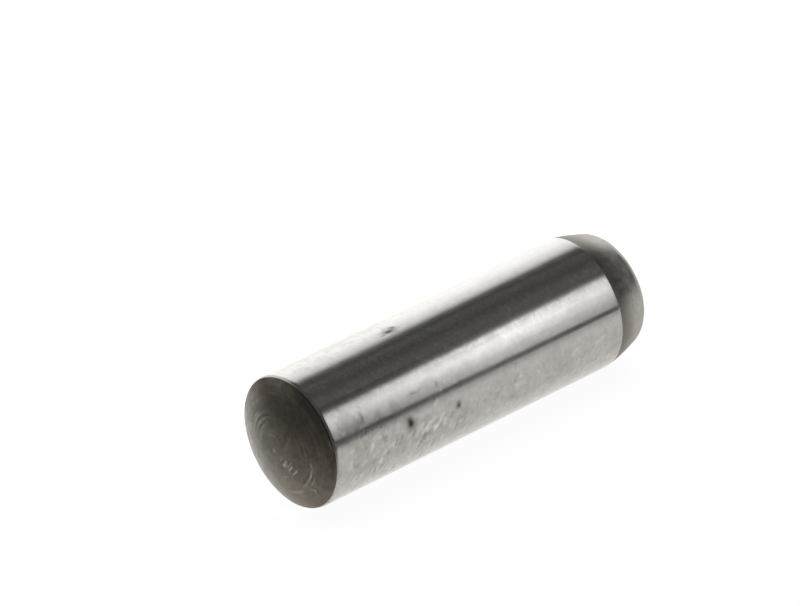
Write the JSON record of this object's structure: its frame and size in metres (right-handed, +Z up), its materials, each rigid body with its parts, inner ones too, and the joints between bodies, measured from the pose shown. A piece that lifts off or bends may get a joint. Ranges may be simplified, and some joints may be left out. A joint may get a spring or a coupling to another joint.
{
  "type": "dowel pin",
  "caption": "Plain ground dowel pin with a crowned end and a tapered, crowned lead end, pressed into reamed holes to locate two parts.",
  "frame": {"origin": "on the pin's axis, halfway between the tips of its two crowns", "axes": "+X along the pin's axis towards the tapered lead end, +Z up, +Y completes the frame"},
  "size_m": [0.016, 0.005, 0.005],
  "materials": {
    "ground_steel": "ground shank with fine marks round it, matt dark turned ends"
  },
  "bodies": {
    "root": {"dowel_pin": "ground_steel"}
  },
  "joints": []
}
